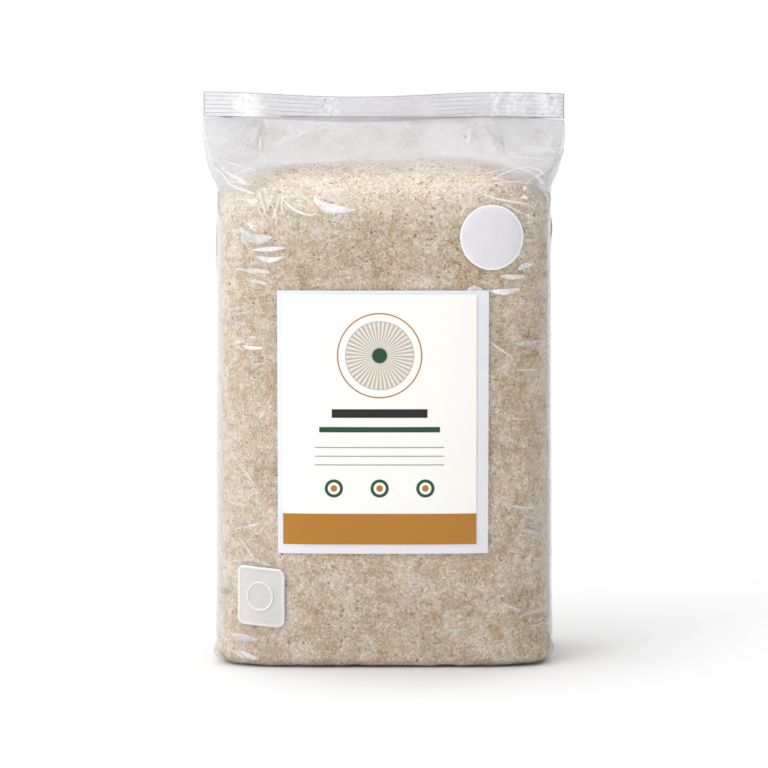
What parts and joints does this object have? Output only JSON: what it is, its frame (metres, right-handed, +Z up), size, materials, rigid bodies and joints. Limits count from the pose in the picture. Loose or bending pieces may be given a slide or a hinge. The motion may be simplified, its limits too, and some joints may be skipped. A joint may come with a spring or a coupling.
{
  "type": "mushroom grow bag",
  "caption": "Clear side-gusseted film bag round a block of spawned substrate, with a crimped top seal, a round filter patch, an injection port and a label on the front.",
  "frame": {"origin": "middle of the flat base that the bag stands on", "axes": "+Z up to the seal, +X along the bag's width, the labelled front faces -Y"},
  "size_m": [0.1786, 0.1014, 0.2802],
  "materials": {
    "substrate": "damp sawdust and grain grown through with pale mycelium, matte",
    "film": "clear polypropylene film, glossy, lightly creased",
    "filter": "white non-woven filter sheet, matte",
    "port_pad": "off-white adhesive pad, soft satin",
    "septum": "off-white silicone rubber, satin",
    "backing": "white label stock, satin",
    "card": "cream printed card, satin"
  },
  "bodies": {
    "root": {"substrate_block": "substrate", "bag_film": "film", "filter_patch": "filter", "injection_port_pad": "port_pad", "injection_port_septum": "septum", "label_backing": "backing", "label_card": "card"}
  },
  "joints": []
}
